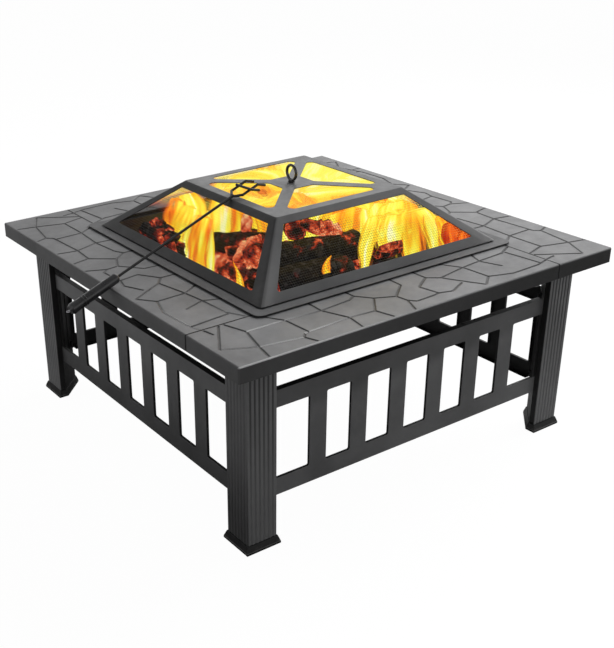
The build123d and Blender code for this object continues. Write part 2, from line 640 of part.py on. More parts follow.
# Side hook: a wire welded over both prongs, its free end bent like theirs
hook_up = 2 * ROD_RADIUS
hook_path = (
    (fork_root + HOOK_AT, FORK_HALF, hook_up),
    (fork_root + HOOK_AT, -HOOK_REACH, hook_up),
    (fork_root + HOOK_AT + reach - FORK_LENGTH, -HOOK_REACH, hook_up - drop),
)
with BuildPart() as poker_hook:
    with BuildLine() as hook_line:
        Polyline(*[on_poker(*point) for point in hook_path])
    with BuildSketch(Plane(origin=hook_line.line @ 0, z_dir=hook_line.line % 0)):
        Circle(ROD_RADIUS)
    sweep(path=hook_line.line, transition=Transition.ROUND)

# Grip: turned handle with a domed front, two beads and a tapered tail, bored for the rod
dome = GRIP_RADIUS * 0.7
tail_end = GRIP_TAIL_RADIUS * 0.75
grip_plane = Plane(origin=poker_rest, x_dir=ahead, z_dir=across)
beads = [-GRIP_REAR + GRIP_TAIL + GRIP_BEAD_PITCH * i for i in range(2)]
with BuildPart() as poker_grip:
    with BuildSketch(grip_plane):
        with BuildLine():
            Polyline(
                (GRIP_FRONT, 0),
                (-GRIP_REAR, 0),
                (-GRIP_REAR, tail_end),
                (-GRIP_REAR + tail_end / 2, GRIP_TAIL_RADIUS),
                (-GRIP_REAR + GRIP_TAIL - GRIP_BEAD_PITCH, GRIP_RADIUS),
                (GRIP_FRONT - dome, GRIP_RADIUS),
            )
            TangentArc((GRIP_FRONT - dome, GRIP_RADIUS), (GRIP_FRONT, ROD_RADIUS * 1.6), tangent=(1, 0))
            Line((GRIP_FRONT, ROD_RADIUS * 1.6), (GRIP_FRONT, 0))
        make_face()
    revolve(axis=Axis(poker_rest, ahead))
    for bead in beads:
        with Locations(poker_plane(bead).location):
            Torus(GRIP_RADIUS, GRIP_BEAD)
    with BuildSketch(poker_plane(GRIP_FRONT - ROD_SOCKET)):
        Circle(ROD_RADIUS + GRIP_BORE_GAP)
    extrude(amount=ROD_SOCKET, mode=Mode.SUBTRACT)
    with BuildSketch(poker_plane(-GRIP_REAR)):
        Circle(EYELET_WIRE + GRIP_BORE_GAP)
    extrude(amount=EYELET_SHANK, mode=Mode.SUBTRACT)

# Hanging eyelet screwed into the grip's tail
eyelet_at = -GRIP_REAR - EYELET_RADIUS - EYELET_WIRE
with BuildPart() as poker_eyelet:
    with Locations(Plane(origin=on_poker(eyelet_at), x_dir=ahead, z_dir=above).location):
        Torus(EYELET_RADIUS, EYELET_WIRE)
    with BuildSketch(poker_plane(eyelet_at + EYELET_RADIUS)):
        Circle(EYELET_WIRE)
    extrude(amount=EYELET_WIRE + EYELET_SHANK)

# Names, places and files
row_shift = -(HALF + poker_eyelet.part.bounding_box().min.X) / 2
os.makedirs("parts", exist_ok=True)


def write(shape, name):
    """One piece, moved to the row frame and written under its own name."""
    placed = shape.moved(Location((row_shift, 0, 0)))
    placed.label = name
    export_step(placed, f"parts/{name}.step")


for quarter in range(4):
    side_name = QUARTER_NAMES[quarter]
    write(top_plate.part.rotate(Axis.Z, 90 * quarter), f"top_plate_{side_name}")
    write(side_panel.part.rotate(Axis.Z, 90 * quarter), f"side_panel_{side_name}")
    write(lid_mesh.part.rotate(Axis.Z, 90 * quarter), f"lid_mesh_{side_name}")
    write(leg.part.rotate(Axis.Z, 90 * quarter), f"leg_{LEG_NAMES[quarter]}")
    write(foot.part.rotate(Axis.Z, 90 * quarter), f"foot_{LEG_NAMES[quarter]}")
write(panel_bolts.part, "panel_bolts")
write(panel_nuts.part, "panel_nuts")
write(top_studs.part, "top_studs")
write(top_nuts.part, "top_nuts")
write(fire_bowl.part, "fire_bowl")
write(grate_rails.part, "grate_rails")
write(grate_bars.part, "grate_bars")
write(lid_frame.part, "lid_frame")
write(lid_mesh_top.part, "lid_mesh_top")
write(lid_eye.part, "lid_eye")
write(lid_washer.part, "lid_washer")
write(lid_nut.part, "lid_nut")
write(poker_rod.part, "poker_rod")
write(poker_fork.part, "poker_fork")
write(poker_hook.part, "poker_hook")
write(poker_grip.part, "poker_grip")
write(poker_eyelet.part, "poker_eyelet")
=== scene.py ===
"""Looks of a square fire pit table with a spark-screen lid and a poker, over its CAD frame.

Metres, in the row frame: the table stands on z = 0, its side a faces -Y and its side d faces -X.
Points of the fire are written in millimetres about the table's middle, and place() converts them.
"""

import math
import random

import bmesh
import bpy
from mathutils import Euler, Matrix, Vector, kdtree, noise


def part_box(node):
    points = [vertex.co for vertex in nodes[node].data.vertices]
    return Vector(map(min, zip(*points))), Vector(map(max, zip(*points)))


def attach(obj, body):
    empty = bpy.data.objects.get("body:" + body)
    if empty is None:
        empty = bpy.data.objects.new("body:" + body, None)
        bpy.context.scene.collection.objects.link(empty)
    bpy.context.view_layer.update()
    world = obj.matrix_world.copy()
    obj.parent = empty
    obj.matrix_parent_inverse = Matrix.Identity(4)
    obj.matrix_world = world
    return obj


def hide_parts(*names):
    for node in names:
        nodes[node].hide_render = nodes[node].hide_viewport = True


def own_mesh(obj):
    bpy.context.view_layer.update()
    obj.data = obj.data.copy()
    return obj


# Camera at the photograph's viewing angle
CAMERA_PLACE = (-1.1088, -1.4823, 1.0090)
CAMERA_AZIMUTH = -32.72
CAMERA_ELEVATION = 25.40
CAMERA_ROLL = -1.72
CAMERA_LENS = 61.334
CAMERA_SHIFT = (0.1654, 0.0459)
SENSOR_WIDTH = 36

# Studio: light from low to high, what reflections see below and above a fade, and the floor
SKY_LIGHT = (0.39, 0.11)
SKY_FADE = (0.36, 0.62)
SKY_MIRROR = (0.8, 0.25)
FLOOR_RADIUS = 9
FLOOR_DROP = 0.0006
FLOOR_COLOUR = 0.18
FLOOR_WHITE = 0.86
FLOOR_GLOW = 1.14

# Paint: the grey of the sheets, and the black of the painted shade in their hollows, on their inner faces and
# on faces in shade
PAINT = (0.115, 0.115, 0.117)
PAINTED_SHADE = (0.008, 0.008, 0.008)

# Painted sheet: seams and groove walls of the top, border of the lid, band of a foot, frame of a side panel
SEAM_HALF = 0.0006
SEAM_SHADE = 0.002
GROOVE_SOFT = 0.0028
LID_BORDER = 0.014
FOOT_BAND = 0.0035
TOP_RAIL = 0.030
BOTTOM_RAIL = 0.0315
END_STILE = 0.016
STILE_SOFT = 0.002

# Soft steps between two marks on painted sheet, as two distances below an edge or a face
APRON_IN = (0.003, 0.001)
APRON_DOWN = (0.004, 0.001)
BEND_IN = (0.0026, 0.0022)
BEND_DOWN = (0.0024, 0.0002)
FLAT_IN = (0.006, 0.005)
GROOVE_DOWN = (0.001, 0.0004)
FLUTE_IN = (0.0009, 0.0001)
LEG_FACE = (0.0013, 0.0009)
LEG_INSIDE = (0.0018, 0.0013)
PANEL_INSIDE = (0.0009, 0.0005)
BOWL_INSIDE = (0.03, 0.006)

# Spark-screen mesh: its wires, its hole for the nut, and how near to a flame the painted flame light on a
# wire is strongest and still shows
MESH_PITCH = 0.0046
WIRE_RADIUS = 0.00027
MESH_HOLE = 0.021
FLAME_LIGHT_NEAR = 0.014
FLAME_LIGHT_FAR = 0.031

# Charcoal: cells and depth of its cracks, and the points of a log, a lump and the ember bed
CRACK_CELL = 0.015
CRACK_DEPTH = 0.0022
LOG_STEP = 0.0032
LOG_SIDES = 52
CAP_RINGS = 9
COAL_ROWS = 10
COAL_SIDES = 16
BED_CELLS = 84
LUMP_COUNT = 70
HEAP_COUNT = 84

# Flames: points of a flame, room to the lid, the nut and the bowl's walls, share left when the grate is up
FLAME_ROWS = 26
FLAME_COLUMNS = 12
FLAME_GAP = 0.006
FLAME_LAYER = 0.0001
FLAME_WALL = 0.014
NUT_ROOM = 0.02
MOUTH_HALF = 0.250
BOWL_TAPER = 0.038

# Kinds of flame: how warm its colour is, and how much painted flame light it gives the mesh
FLAME_KINDS = {"white": (0.66, 1.0), "pale": (0.42, 1.0), "gold": (0.18, 0.86), "red": (-0.2, 0.6)}

# Groups of flames, in millimetres about the table's middle
ROLL_MIDDLE = Vector((46, 34, 0))
ROLL_COUNT = 22
CURTAIN_MIDDLE = Vector((62, 66, 0))
CURTAIN_WAY = Vector((0.84, -0.54, 0))
CURTAIN_COUNT = 7
CURTAIN_STEP = 46
CROWN_HEIGHT = 470

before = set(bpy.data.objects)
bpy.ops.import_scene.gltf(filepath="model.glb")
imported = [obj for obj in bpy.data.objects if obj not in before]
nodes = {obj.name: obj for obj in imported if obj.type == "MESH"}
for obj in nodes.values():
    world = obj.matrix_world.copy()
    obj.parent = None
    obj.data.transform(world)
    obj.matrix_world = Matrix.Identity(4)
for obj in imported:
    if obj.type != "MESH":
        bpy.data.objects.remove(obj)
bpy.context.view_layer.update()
bowl_low, bowl_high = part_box("fire_bowl")
CENTRE = (bowl_low + bowl_high) / 2
mesh_low, mesh_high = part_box("lid_mesh_a")
MESH_RISE = (mesh_high.z - mesh_low.z) / (mesh_high.y - mesh_low.y)
MESH_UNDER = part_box("lid_mesh_top")[0].z
NUT_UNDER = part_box("lid_eye")[0].z
plate_low, plate_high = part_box("top_plate_a")
TOP_AT = plate_high.z
EDGE_AT = CENTRE.y - plate_low.y
LEG_AT = CENTRE.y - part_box("leg_front")[0].y
panel_low, panel_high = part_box("side_panel_a")
PANEL_AT = CENTRE.y - panel_low.y
PANEL_END = CENTRE.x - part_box("leg_front")[1].x
SEAM_AT = plate_high.x - CENTRE.x + SEAM_HALF
LID_TOP_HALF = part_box("lid_mesh_top")[1].y + LID_BORDER
LID_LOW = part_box("lid_frame")[0].z


class Look:
    """A material under construction: a principled shader and short ways to add nodes to it."""

    def __init__(self, name, colour=(0.5, 0.5, 0.5), roughness=0.5, metallic=0.0, specular=0.5):
        self.material = bpy.data.materials.new(name)
        self.material.use_nodes = True
        self.tree = self.material.node_tree
        self.shader = self.tree.nodes["Principled BSDF"]
        self.place = self.add("ShaderNodeTexCoord").outputs["Object"]
        self.set("Base Color", (*colour, 1))
        self.set("Roughness", roughness)
        self.set("Metallic", metallic)
        self.set("Specular IOR Level", specular)

    def add(self, kind, **values):
        """A node of a kind, with its properties set."""
        node = self.tree.nodes.new(kind)
        for key, value in values.items():
            setattr(node, key, value)
        return node

    def feed(self, socket, value):
        """Links an output to a socket, or sets the socket's own value."""
        if isinstance(value, bpy.types.NodeSocket):
            self.tree.links.new(value, socket)
        else:
            socket.default_value = value

    def set(self, name, value):
        """Feeds one of the shader's sockets."""
        self.feed(self.shader.inputs[name], value)

    def glow(self, colour, strength):
        """Light of the surface's own, which is seen but isn't sampled as a lamp."""
        self.set("Emission Color", colour)
        self.set("Emission Strength", strength)
        self.material.cycles.emission_sampling = "NONE"

    def reading(self, name):
        """A value kept with the mesh's points."""
        return self.add("ShaderNodeAttribute", attribute_name=name).outputs["Fac"]

    def stretched(self, scale):
        """Object coordinates scaled unevenly, for grain that runs one way."""
        node = self.add("ShaderNodeMapping")
        self.feed(node.inputs["Vector"], self.place)
        node.inputs["Scale"].default_value = scale
        return node.outputs["Vector"]

    def noise(self, scale, detail=4.0, roughness=0.55, vector=None, distortion=0.0):
        """Noise from 0 to 1 with that many features per metre."""
        node = self.add("ShaderNodeTexNoise")
        self.feed(node.inputs["Vector"], vector or self.place)
        node.inputs["Scale"].default_value = scale
        node.inputs["Detail"].default_value = detail
        node.inputs["Roughness"].default_value = roughness
        node.inputs["Distortion"].default_value = distortion
        return node.outputs["Fac"]

    def cells(self, scale):
        """Distance in a Voronoi pattern with that many cells per metre."""
        node = self.add("ShaderNodeTexVoronoi")
        self.feed(node.inputs["Vector"], self.place)
        node.inputs["Scale"].default_value = scale
        return node.outputs["Distance"]

    def math(self, operation, first, second=0.0, clamp=False):
        """One arithmetic step."""
        node = self.add("ShaderNodeMath", operation=operation, use_clamp=clamp)
        self.feed(node.inputs[0], first)
        self.feed(node.inputs[1], second)
        return node.outputs["Value"]

    def product(self, first, *others):
        """Values multiplied together."""
        for other in others:
            first = self.math("MULTIPLY", first, other)
        return first

    def rest(self, value):
        """What a value leaves of 1."""
        return self.math("SUBTRACT", 1.0, value)

    def fit(self, value, low, high, to_low=0.0, to_high=1.0):
        """A value's range mapped to another, clamped and smooth."""
        node = self.add("ShaderNodeMapRange", interpolation_type="SMOOTHSTEP")
        for number, part in enumerate((value, low, high, to_low, to_high)):
            self.feed(node.inputs[number], part)
        return node.outputs["Result"]

    def above(self, value, level, step):
        """1 above a step that lies two distances below a level, and 0 below it."""
        return self.fit(value, level - step[0], level - step[1])

    def below(self, value, level, step):
        """1 below a step that lies two distances below a level, and 0 above it."""
        return self.fit(value, level - step[0], level - step[1], 1.0, 0.0)

    def within(self, value, low, high, blur=0.0004):
        """1 where a value lies between two others, 0 elsewhere, with a soft step."""
        above = self.fit(value, low - blur, low + blur)
        return self.product(above, self.fit(value, high - blur, high + blur, 1.0, 0.0))

    def ramp(self, value, *stops):
        """Colours along a value, each stop a position and a colour."""
        node = self.add("ShaderNodeValToRGB")
        elements = node.color_ramp.elements
        while len(elements) < len(stops):
            elements.new(1.0)
        for element, (position, colour) in zip(elements, stops):
            element.position = position
            element.color = (*colour, 1)
        self.feed(node.inputs["Fac"], value)
        return node.outputs["Color"]

    def cover(self, tone, colour, *shares):
        """A tone under a colour that covers it by the product of shares."""
        node = self.add("ShaderNodeMix", data_type="RGBA")
        self.feed(node.inputs["Factor"], self.product(*shares))
        for socket, part in (("A", tone), ("B", colour)):
            self.feed(node.inputs[socket], part if isinstance(part, bpy.types.NodeSocket) else (*part, 1))
        return node.outputs["Result"]

    def split(self, vector):
        """The three numbers of a vector."""
        node = self.add("ShaderNodeSeparateXYZ")
        self.feed(node.inputs["Vector"], vector)
        return node.outputs

    def about(self):
        """A point's place from the table's middle, and its height."""
        x, y, z = self.split(self.place)
        return self.math("SUBTRACT", x, CENTRE.x), y, z

    def away(self):
        """A point's distances from the table's middle along x and along y, and its height."""
        x, y, z = self.about()
        return self.math("ABSOLUTE", x), self.math("ABSOLUTE", y), z

    def rounded(self, radius):
        """The surface's normal with its edges rounded off."""
        node = self.add("ShaderNodeBevel", samples=6)
        node.inputs["Radius"].default_value = radius
        return node.outputs["Normal"]

    def near_edge(self, rounded):
        """How near to an edge a point is, from 0 on a flat face to 1."""
        node = self.add("ShaderNodeVectorMath", operation="DOT_PRODUCT")
        self.feed(node.inputs[0], rounded)
        self.feed(node.inputs[1], self.add("ShaderNodeNewGeometry").outputs["Normal"])
        return self.fit(node.outputs["Value"], 1.0, 0.7)

    def bump(self, *layers, normal=None):
        """Relief from layers of height, each with its depth in metres, over a normal."""
        for height, depth in layers:
            node = self.add("ShaderNodeBump")
            node.inputs["Strength"].default_value = 1.0
            node.inputs["Distance"].default_value = depth
            self.feed(node.inputs["Height"], height)
            if normal:
                self.feed(node.inputs["Normal"], normal)
            normal = node.outputs["Normal"]
        self.set("Normal", normal)


def grey(level):
    """A colour without a hue."""
    return (level, level, level)


def shade(colour, factor):
    """A colour made lighter or darker."""
    return tuple(min(1.0, channel * factor) for channel in colour)


def powder_coat(name, colour, roughness, edge=0.0012, specular=0.5, marks=None):
    """Satin powder coat: fine orange peel, cloudy tone, dust, lighter edges that are partly wear and partly
    painted highlight, handling marks in its gloss.
    """
    look = Look(name, colour, roughness, specular=specular)
    cloud = look.noise(9, 5)
    smudge = look.noise(38, 6, 0.7)
    peel = look.noise(700, 2)
    rounded = look.rounded(edge)
    tone = look.ramp(cloud, (0.3, shade(colour, 0.8)), (0.7, shade(colour, 1.22)))
    dust = look.fit(look.noise(150, 3, 0.7), 0.62, 0.8)
    tone = look.cover(tone, shade(colour, 2.2), dust, 0.18)
    # Lighter edges: partly wear, partly painted highlight.
    wear_and_highlight = look.fit(smudge, 0.35, 0.65, 0.15, 0.6)
    tone = look.cover(tone, shade(colour, 2.0), look.near_edge(rounded), wear_and_highlight)
    look.set("Base Color", marks(look, tone) if marks else tone)
    look.set("Roughness", look.fit(smudge, 0.25, 0.75, roughness - 0.07, roughness + 0.08))
    look.bump((peel, 0.00006), (cloud, 0.0004), normal=rounded)
    return look.material


def bare_metal(name, colour, roughness):
    """Zinc plating: spangled tone, fine brushing, dull spots."""
    look = Look(name, colour, roughness, metallic=1.0)
    spangle = look.cells(900)
    spots = look.noise(260, 4, 0.6)
    look.set("Base Color", look.ramp(spangle, (0.0, shade(colour, 0.7)), (0.7, shade(colour, 1.2))))
    look.set("Roughness", look.fit(spots, 0.3, 0.7, roughness - 0.1, roughness + 0.2))
    look.bump((look.noise(1500, 2), 0.00003), normal=look.rounded(0.0004))
    return look.material


def gloss_black(name, colour, roughness):
    """Smooth gloss black: faint flow lines, greyed by handling."""
    look = Look(name, colour, roughness)
    look.set("Coat Weight", 0.5)
    look.set("Coat Roughness", 0.15)
    handled = look.noise(45, 5, 0.65)
    flow = look.noise(300, 2, 0.5, look.stretched((2.5, 0.6, 0.6)))
    look.set("Base Color", look.ramp(handled, (0.35, shade(colour, 0.8)), (0.7, shade(colour, 2.0))))
    look.set("Roughness", look.fit(handled, 0.3, 0.7, roughness - 0.08, roughness + 0.12))
    look.bump((flow, 0.00005), normal=look.rounded(0.0006))
    return look.material


def fold_marks(look, tone):
    """Painted shade on the aprons at the front and back of the top, darker to the right, a little painted
    light on the aprons at its flanks, and a painted highlight along the front and back edges, fading to the
    right.
    """
    x, _, z = look.about()
    far_x, far_y, _ = look.away()
    apron = look.below(z, TOP_AT, APRON_DOWN)
    # Painted shade on the front and back aprons, more towards the right.
    front = look.product(look.above(far_y, EDGE_AT, APRON_IN), apron)
    tone = look.cover(tone, grey(0.01), front, look.fit(x, -EDGE_AT, EDGE_AT, 0.2, 1.0))
    # Painted light: the flank aprons made a little paler.
    flank = look.product(look.above(far_x, EDGE_AT, APRON_IN), apron)
    tone = look.cover(tone, grey(0.6), flank, 0.08)
    # Painted highlight: a bright line where the top turns down at the front and back, fading to the right.
    bend = look.within(z, TOP_AT - BEND_DOWN[0], TOP_AT - BEND_DOWN[1])
    bend = look.product(bend, look.above(far_y, EDGE_AT, BEND_IN))
    return look.cover(tone, grey(0.75), bend, look.fit(x, -EDGE_AT, 0.1, 0.75, 0.1))


def groove_marks(look, tone):
    """Painted shade in the paving grooves' floors and on their walls, and a painted highlight on the walls
    that face outward, close to the near corner.
    """
    x, y, z = look.about()
    far_x, far_y, _ = look.away()
    flat = look.below(look.math("MAXIMUM", far_x, far_y), EDGE_AT, FLAT_IN)
    # Painted shade on the floors of the grooves.
    tone = look.cover(tone, grey(0.01), look.below(z, TOP_AT, GROOVE_DOWN), flat, 0.3)
    lean_x, lean_y, _ = look.split(look.rounded(GROOVE_SOFT))
    lean_x = look.product(lean_x, look.math("SIGN", x))
    lean_y = look.product(lean_y, look.math("SIGN", y))
    turned = look.rest(look.math("GREATER_THAN", look.product(x, y), 0.0))
    flank = look.math("MAXIMUM", turned, look.math("LESS_THAN", far_y, SEAM_AT))
    flank = look.product(flank, look.math("GREATER_THAN", far_x, SEAM_AT))
    front = look.rest(flank)
    outward = look.math("ADD", look.product(lean_x, flank), look.product(lean_y, front))
    aside = look.math("ADD", look.product(lean_y, flank), look.product(lean_x, front))
    aside = look.math("ABSOLUTE", aside)
    # Painted shade on the groove walls.
    dark = look.fit(look.math("MAXIMUM", aside, look.math("ABSOLUTE", outward)), 0.04, 0.28)
    tone = look.cover(tone, PAINTED_SHADE, dark, flat, 0.75)
    # Painted highlight on the walls that face outward, close to the near corner.
    light = look.fit(look.math("SUBTRACT", outward, aside), 0.04, 0.3)
    near = look.fit(look.math("ADD", x, y), -0.62, -0.46, 1.0, 0.0)
    return look.cover(tone, grey(0.42), light, near, flat, 0.92)


def seam_marks(look, tone):
    """Dark seams where one top plate ends at the next."""
    x, y, _ = look.about()
    far_x, far_y, _ = look.away()
    same = look.math("GREATER_THAN", look.product(x, y), 0.0)
    seams = []
    for across, along, there in ((far_x, far_y, look.rest(same)), (far_y, far_x, same)):
        line = look.within(across, SEAM_AT - SEAM_SHADE, SEAM_AT + SEAM_SHADE)
        seams.append(look.product(line, look.math("GREATER_THAN", along, SEAM_AT), there))
    return look.cover(tone, grey(0.004), look.math("ADD", *seams, clamp=True), 0.85)


def top_marks(look, tone):
    """Folded edges, grooves and seams of the table's top."""
    return seam_marks(look, groove_marks(look, fold_marks(look, tone)))


def leg_marks(look, tone):
    """Painted shade in the flutes of the legs' outer faces and on their inner faces, and painted deep shade
    on one face of the near leg, darker towards the bottom.
    """
    far_x, far_y, z = look.away()
    out = look.math("MAXIMUM", far_x, far_y)
    near = look.fit(look.about()[1], -0.3, 0.1, 1.0, 0.0)
    flank = look.product(look.above(far_x, LEG_AT, LEG_FACE), near)
    # Painted shade in the flutes, stronger higher up and faint on the near leg's shaded face.
    flutes = look.product(look.below(out, LEG_AT, FLUTE_IN), look.rest(look.product(flank, 0.85)))
    tone = look.cover(tone, PAINTED_SHADE, flutes, look.fit(z, 0.03, 0.3, 0.12, 0.7))
    # Painted deep shade on one face of the near leg, darker towards the bottom.
    tone = look.cover(tone, PAINTED_SHADE, flank, look.fit(z, 0.02, 0.29, 0.72, 0.1))
    # Painted shade on the legs' inner faces.
    return look.cover(tone, PAINTED_SHADE, look.below(out, LEG_AT, LEG_INSIDE), 0.92)


def panel_marks(look, tone):
    """Painted shade by height, low on the flank panels and high on the front and back ones, painted shade on
    the turned edges and inner faces, and the legs' painted shadow on the end stiles of the side panels.
    """
    far_x, far_y, z = look.away()
    flank = look.math("GREATER_THAN", far_x, far_y)
    # Painted shade by height.
    low = look.product(look.fit(z, panel_low.z, panel_high.z, 0.58, 0.0), flank)
    high = look.fit(z, panel_high.z - 2 * TOP_RAIL, panel_high.z - TOP_RAIL, 0.0, 0.3)
    high = look.product(high, look.rest(flank))
    tone = look.cover(tone, PAINTED_SHADE, look.math("ADD", low, high))
    # Painted shade on the turned edges and inner faces, and the legs' painted shadow on the end stiles beside
    # the windows.
    inner = look.below(look.math("MAXIMUM", far_x, far_y), PANEL_AT, PANEL_INSIDE)
    along = look.math("MINIMUM", far_x, far_y)
    stile = look.fit(along, PANEL_END - END_STILE - STILE_SOFT, PANEL_END - END_STILE)
    windows = look.within(z, panel_low.z + BOTTOM_RAIL, panel_high.z - TOP_RAIL, STILE_SOFT)
    dark = look.math("MAXIMUM", inner, look.product(stile, windows))
    return look.cover(tone, PAINTED_SHADE, dark, 0.92)


def lid_marks(look, tone):
    """Painted shade low on the lid, painted light on its posts, and patchy painted shade on its slope d."""
    x, _, z = look.about()
    far_x, far_y, _ = look.away()
    hip = look.math("ABSOLUTE", look.math("SUBTRACT", far_x, far_y))
    # Painted shade near the lid's base, away from the posts.
    base = look.fit(z, LID_LOW + 0.008, LID_LOW + 0.045, 0.3, 0.0)
    tone = look.cover(tone, grey(0.01), base, look.fit(hip, 0.016, 0.05))
    # Painted light on the posts, more near the base.
    post = look.fit(hip, 0.012, 0.03, 0.06, 0.0)
    tone = look.cover(tone, grey(0.6), post, look.fit(z, LID_LOW + 0.01, LID_LOW + 0.08, 1.0, 0.2))
    left = look.product(x, -1.0)
    slope = look.fit(look.math("SUBTRACT", left, far_y), -0.0006, 0.0006)
    slope = look.product(slope, look.fit(left, LID_TOP_HALF - 0.002, LID_TOP_HALF + 0.004))
    # Patchy painted shade on slope d.
    slope_shade = look.fit(look.noise(24, 4, 0.6), 0.3, 0.7, 0.5, 0.75)
    return look.cover(tone, grey(0.01), slope, slope_shade)


def bowl_marks(look, tone):
    """Soot and pale ash streaks on the inside of the bowl, below its rim."""
    streaks = look.noise(14, 5, 0.65, look.stretched((1, 1, 0.25)))
    soot = look.ramp(streaks, (0.35, (0.008, 0.007, 0.006)), (0.62, (0.03, 0.026, 0.023)),
                     (0.75, (0.12, 0.11, 0.10)))
    return look.cover(tone, soot, look.below(look.about()[2], bowl_high.z, BOWL_INSIDE))


def foot_marks(look, tone):
    """Dust and scuffs low on the feet, and a painted highlight along the edge above their upright band."""
    z = look.about()[2]
    scuffs = look.fit(look.noise(90, 5, 0.7), 0.42, 0.7)
    tone = look.cover(tone, (0.16, 0.15, 0.14), look.fit(z, 0.0, 0.012, 1.0, 0.0), scuffs, 0.5)
    # Painted highlight along the edge above the band.
    edge = look.within(z, FOOT_BAND - 0.0004, FOOT_BAND + 0.0011)
    return look.cover(tone, grey(0.22), edge, 0.6)


def give(material, *names):
    """Puts a material on CAD nodes, by name or by the start of their names."""
    for node_name, node in nodes.items():
        if node_name in names or any(n.endswith("_") and node_name.startswith(n) for n in names):
            node.data.materials.clear()
            node.data.materials.append(material)


def paint_nodes():
    """The materials of the CAD nodes."""
    give(powder_coat("table_top_coat", PAINT, 0.42, marks=top_marks), "top_plate_")
    # Painted light: the legs and side panels take the table's paint made lighter.
    give(powder_coat("leg_coat", shade(PAINT, 2.1), 0.45, marks=leg_marks), "leg_")
    give(powder_coat("panel_coat", shade(PAINT, 1.95), 0.45, marks=panel_marks), "side_panel_")
    give(powder_coat("foot_coat", shade(PAINT, 0.07), 0.34, specular=0.36, marks=foot_marks), "foot_")
    # Painted shade: the lid and the bowl take the table's paint made darker.
    give(powder_coat("lid_coat", shade(PAINT, 0.62), 0.42, marks=lid_marks), "lid_frame")
    give(powder_coat("bowl_coat", shade(PAINT, 0.58), 0.5, marks=bowl_marks), "fire_bowl")
    give(powder_coat("grate_coat", (0.02, 0.019, 0.018), 0.7), "grate_")
    give(powder_coat("wire_coat", grey(0.022), 0.36, edge=0.0004), "poker_rod", "poker_fork", "poker_hook")
    give(gloss_black("eye_gloss", (0.02, 0.02, 0.021), 0.16), "lid_eye")
    give(gloss_black("grip_black", (0.016, 0.016, 0.017), 0.3), "poker_grip")
    give(powder_coat("bolt_black", grey(0.02), 0.4, edge=0.0004), "panel_bolts")
    give(bare_metal("zinc", (0.52, 0.52, 0.54), 0.32),
         "panel_nuts", "top_studs", "top_nuts", "lid_washer", "lid_nut", "poker_eyelet")


def add_camera():
    """The camera, placed and turned as the photograph was taken."""
    azimuth, elevation, roll = (math.radians(v) for v in (CAMERA_AZIMUTH, CAMERA_ELEVATION, CAMERA_ROLL))
    level = math.cos(elevation)
    back = Vector((math.sin(azimuth) * level, -math.cos(azimuth) * level, math.sin(elevation)))
    across = Vector((math.cos(azimuth), math.sin(azimuth), 0))
    upright = back.cross(across)
    right = across * math.cos(roll) + upright * math.sin(roll)
    up = upright * math.cos(roll) - across * math.sin(roll)
    data = bpy.data.cameras.new("camera")
    data.sensor_fit = "HORIZONTAL"
    data.sensor_width = SENSOR_WIDTH
    data.lens = CAMERA_LENS
    data.shift_x, data.shift_y = CAMERA_SHIFT
    camera = bpy.data.objects.new("camera", data)
    camera.matrix_world = Matrix.Translation(CAMERA_PLACE) @ Matrix((right, up, back)).transposed().to_4x4()
    bpy.context.scene.collection.objects.link(camera)
    bpy.context.scene.camera = camera


def add_lamp(name, spot, target, size, power, mirrored):
    """A square softbox aimed at a point, which shows only in reflections or only as soft light."""
    data = bpy.data.lights.new(name, "AREA")
    data.size = size
    data.energy = power
    lamp = bpy.data.objects.new(name, data)
    lamp.location = spot
    lamp.rotation_euler = (Vector(target) - Vector(spot)).to_track_quat("-Z", "Y").to_euler()
    lamp.visible_glossy = mirrored
    lamp.visible_diffuse = not mirrored
    bpy.context.scene.collection.objects.link(lamp)


def add_world():
    """A white studio: even to the camera, dimmer overhead in reflections, soft from above as light."""
    world = bpy.data.worlds.new("studio")
    world.use_nodes = True
    tree = world.node_tree
    sky = tree.nodes["Background"]
    sky.inputs["Color"].default_value = (1, 1, 1, 1)
    height = tree.nodes.new("ShaderNodeSeparateXYZ")
    tree.links.new(tree.nodes.new("ShaderNodeTexCoord").outputs["Generated"], height.inputs["Vector"])
    path = tree.nodes.new("ShaderNodeLightPath")

    def level(value, low, high, at_low, at_high):
        """A strength that follows a value, between ends that are outputs or numbers."""
        node = tree.nodes.new("ShaderNodeMapRange")
        tree.links.new(value, node.inputs["Value"])
        for name, part in zip(("From Min", "From Max", "To Min", "To Max"), (low, high, at_low, at_high)):
            if isinstance(part, bpy.types.NodeSocket):
                tree.links.new(part, node.inputs[name])
            else:
                node.inputs[name].default_value = part
        return node.outputs["Result"]

    light = level(height.outputs["Z"], 0.0, 1.0, *SKY_LIGHT)
    mirror = level(height.outputs["Z"], *SKY_FADE, *SKY_MIRROR)
    bounced = level(path.outputs["Is Glossy Ray"], 0, 1, light, mirror)
    passed = level(path.outputs["Is Transmission Ray"], 0, 1, bounced, 1.0)
    seen = level(path.outputs["Is Camera Ray"], 0, 1, passed, 1.0)
    tree.links.new(seen, sky.inputs["Strength"])
    bpy.context.scene.world = world


